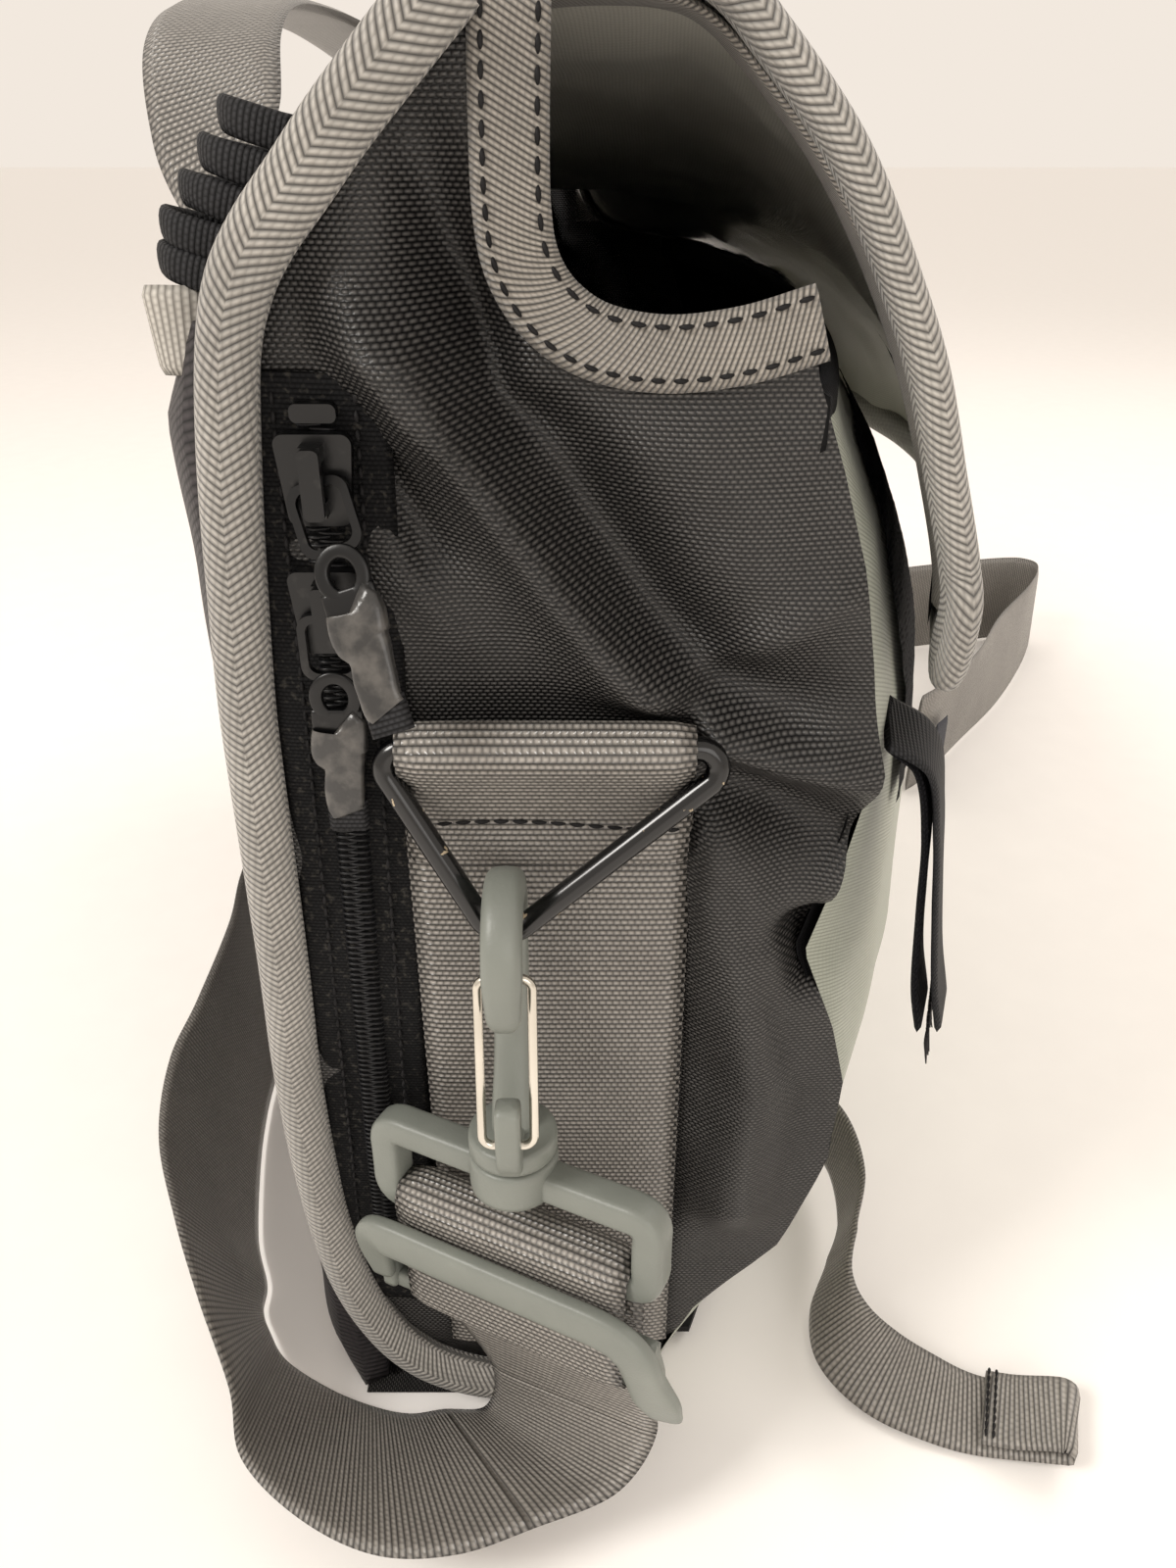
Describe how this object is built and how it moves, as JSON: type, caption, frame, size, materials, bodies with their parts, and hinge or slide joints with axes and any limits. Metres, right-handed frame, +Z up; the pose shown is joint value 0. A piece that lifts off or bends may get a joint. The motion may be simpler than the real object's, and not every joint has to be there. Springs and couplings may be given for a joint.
{
  "type": "messenger bag",
  "caption": "Soft messenger bag with a flap, a webbing shoulder strap on swivel snap hooks, triangle rings and a zip with pullers on the end gusset.",
  "frame": {"origin": "middle of the bag's base, on the surface it stands on", "axes": "+Z up, +X along the bag's long side away from the near end, +Y towards the back panel, -Y towards the flap's front"},
  "size_m": [0.5745, 0.3863, 0.2952],
  "materials": {
    "black_nylon": "plain nylon",
    "ballistic_nylon": "basket weave",
    "foam": "closed cell foam",
    "lining": "plain",
    "sage_cloth": "plain weave",
    "board": "sheet",
    "grosgrain": "ribbed tape",
    "herringbone": "herringbone twill tape",
    "coated_lining": "coated",
    "hook_tape": "hook and loop",
    "zip_cloth": "twill tape",
    "zip_coil": "coil",
    "black_metal": "satin",
    "clear_sleeve": "shrunk tube",
    "black_webbing": "webbing",
    "webbing": "ribbed webbing",
    "painted_wire": "gloss, chipped",
    "sage_plastic": "fine matt",
    "bright_wire": "polished",
    "label": "woven"
  },
  "bodies": {
    "bag": {"anchor_loop_far": "webbing", "anchor_loop_near": "webbing", "anchor_webbing_far": "webbing", "anchor_webbing_near": "webbing", "back_elastic": "black_webbing", "back_foam": "foam", "back_lining": "lining", "back_panel": "black_nylon", "back_tag": "label", "base_board": "board", "base_panel": "black_nylon", "crown_panel": "black_nylon", "edge_binding_far": "herringbone", "edge_binding_near": "herringbone", "front_loop_patches": "hook_tape", "front_panel": "sage_cloth", "grab_handle": "webbing", "gusset_far": "ballistic_nylon", "gusset_near": "ballistic_nylon", "gusset_tape_far": "grosgrain", "gusset_tape_near": "grosgrain", "shoulder_strap": "webbing", "side_tab_hook": "hook_tape", "side_tab_loop": "webbing", "strap_label": "label", "tail_strap": "webbing", "zip_coil": "zip_coil", "zip_stops": "black_metal", "zip_tape": "zip_cloth"},
    "flap": {"flap_outer": "sage_cloth", "flap_lining": "coated_lining", "flap_binding": "herringbone", "flap_hook_patches": "hook_tape"},
    "zip_slider_upper": {"slider_upper": "black_metal"},
    "zip_puller_upper": {"bail_upper": "black_metal", "puller_tab_upper": "black_metal", "puller_sleeve_upper": "clear_sleeve", "puller_end_upper": "black_webbing"},
    "zip_slider_lower": {"slider_lower": "black_metal"},
    "zip_puller_lower": {"bail_lower": "black_metal", "puller_tab_lower": "black_metal", "puller_sleeve_lower": "clear_sleeve", "puller_end_lower": "black_webbing"},
    "ring_near": {"triangle_ring_near": "painted_wire"},
    "hook_near": {"snap_hook_near": "sage_plastic"},
    "gate_near": {"wire_gate_near": "bright_wire"},
    "loop_near": {"strap_loop_near": "sage_plastic", "strap_lead_near": "webbing"},
    "slider_near": {"strap_slider_near": "sage_plastic"},
    "ring_far": {"triangle_ring_far": "painted_wire"},
    "hook_far": {"snap_hook_far": "sage_plastic"},
    "gate_far": {"wire_gate_far": "bright_wire"},
    "loop_far": {"strap_loop_far": "sage_plastic", "strap_lead_far": "webbing"},
    "slider_far": {"strap_slider_far": "sage_plastic"}
  },
  "joints": [
    {"name": "flap_hinge", "type": "hinge", "parent": "bag", "child": "flap", "pos_m": [0, 0.014, 0.2855], "axis": [-1, 0, 0], "range_deg": [0, 150]},
    {"name": "zip_slide_upper", "type": "slide", "parent": "bag", "child": "zip_slider_upper", "axis": [-0.0523, -0.0291, 0.9982], "range_m": [-0.005, 0.0008]},
    {"name": "puller_swing_upper", "type": "hinge", "parent": "zip_slider_upper", "child": "zip_puller_upper", "pos_m": [-0.19174, 0.03829, 0.22152], "axis": [0.0162, 0.9511, -0.3086], "range_deg": [0, 90]},
    {"name": "zip_slide_lower", "type": "slide", "parent": "bag", "child": "zip_slider_lower", "axis": [-0.0523, -0.0291, 0.9982], "range_m": [-0.058, 0.005]},
    {"name": "puller_swing_lower", "type": "hinge", "parent": "zip_slider_lower", "child": "zip_puller_lower", "pos_m": [-0.1907, 0.03887, 0.20152], "axis": [0, 1, 0], "range_deg": [0, 66]},
    {"name": "ring_swing_near", "type": "hinge", "parent": "bag", "child": "ring_near", "pos_m": [-0.191, 0.0134, 0.18], "axis": [0, 1, 0], "range_deg": [0, 35]},
    {"name": "hook_swing_near", "type": "hinge", "parent": "ring_near", "child": "hook_near", "pos_m": [-0.1969, 0.0149, 0.1492], "axis": [0, 1, 0], "range_deg": [0, 30]},
    {"name": "gate_spring_near", "type": "hinge", "parent": "hook_near", "child": "gate_near", "pos_m": [-0.2102, 0.0134, 0.115], "axis": [0, 1, 0], "range_deg": [0, 12], "stiffness_Nm_per_rad": 0.02, "springref_deg": -5.73},
    {"name": "loop_swivel_near", "type": "hinge", "parent": "hook_near", "child": "loop_near", "pos_m": [-0.2005, 0.0134, 0.1], "axis": [0, 0, 1], "range_deg": [-4, 55]},
    {"name": "slider_shift_near", "type": "slide", "parent": "loop_near", "child": "slider_near", "axis": [0, 0, -1], "range_m": [0, 0.008]},
    {"name": "ring_swing_far", "type": "hinge", "parent": "bag", "child": "ring_far", "pos_m": [0.191, 0.0134, 0.18], "axis": [0, -1, 0], "range_deg": [0, 35]},
    {"name": "hook_swing_far", "type": "hinge", "parent": "ring_far", "child": "hook_far", "pos_m": [0.1969, 0.0149, 0.1492], "axis": [0, -1, 0], "range_deg": [0, 30]},
    {"name": "gate_spring_far", "type": "hinge", "parent": "hook_far", "child": "gate_far", "pos_m": [0.2102, 0.0134, 0.115], "axis": [0, -1, 0], "range_deg": [0, 12], "stiffness_Nm_per_rad": 0.02, "springref_deg": -5.73},
    {"name": "loop_swivel_far", "type": "hinge", "parent": "hook_far", "child": "loop_far", "pos_m": [0.2005, 0.0134, 0.1], "axis": [0, 0, -1], "range_deg": [-4, 55]},
    {"name": "slider_shift_far", "type": "slide", "parent": "loop_far", "child": "slider_far", "axis": [0, 0, -1], "range_m": [0, 0.008]}
  ]
}
